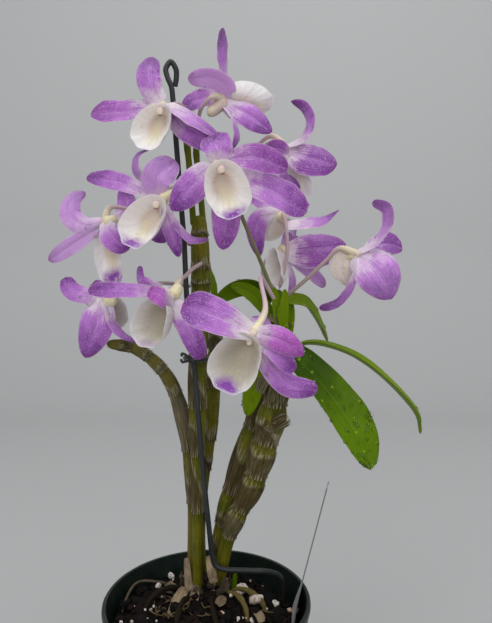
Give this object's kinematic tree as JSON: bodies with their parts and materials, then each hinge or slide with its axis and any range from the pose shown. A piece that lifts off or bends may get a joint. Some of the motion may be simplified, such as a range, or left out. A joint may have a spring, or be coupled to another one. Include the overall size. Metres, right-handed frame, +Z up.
{
  "type": "dendrobium orchid",
  "caption": "Small potted dendrobium orchid in flower: jointed canes in a round nursery pot of bark, lilac and cream blooms, green leaves, a wire stake, a twist tie and a blank label.",
  "frame": {"origin": "centre of the pot's base, on the surface it stands on", "axes": "+Z up along the plant, +X to the label and the long leaves, +Y to the back"},
  "size_m": [0.1159, 0.0687, 0.2395],
  "materials": {
    "pot_plastic": "dark green, satin",
    "bark_mix": "damp dark bark with white grit",
    "root": "matt green and brown roots",
    "cane": "olive green, ribbed, with dry papery sheaths",
    "leaf": "satin green, wet with droplets",
    "bloom": "lilac tipped, pale at the heart, cream lip",
    "wire": "dark, satin",
    "tie": "black, satin",
    "label": "pale grey, blank"
  },
  "bodies": {
    "root": {"pot": "pot_plastic", "potting_mix": "bark_mix", "rhizome_and_roots": "root", "cane_bent": "cane", "cane_tall": "cane", "cane_slender": "cane", "cane_stout": "cane", "cane_leafy": "cane", "leaf_broad": "leaf", "leaf_arching": "leaf", "leaf_back_right": "leaf", "leaf_back_left": "leaf", "leaf_under": "leaf", "leaf_short": "leaf", "leaf_small_left": "leaf", "bloom_01": "bloom", "bloom_02": "bloom", "bloom_03": "bloom", "bloom_04": "bloom", "bloom_05": "bloom", "bloom_06": "bloom", "bloom_07": "bloom", "bloom_08": "bloom", "bloom_09": "bloom", "bloom_10": "bloom", "bloom_11": "bloom", "bloom_12": "bloom", "stake": "wire", "twist_tie": "tie", "plant_label": "label"}
  },
  "joints": []
}
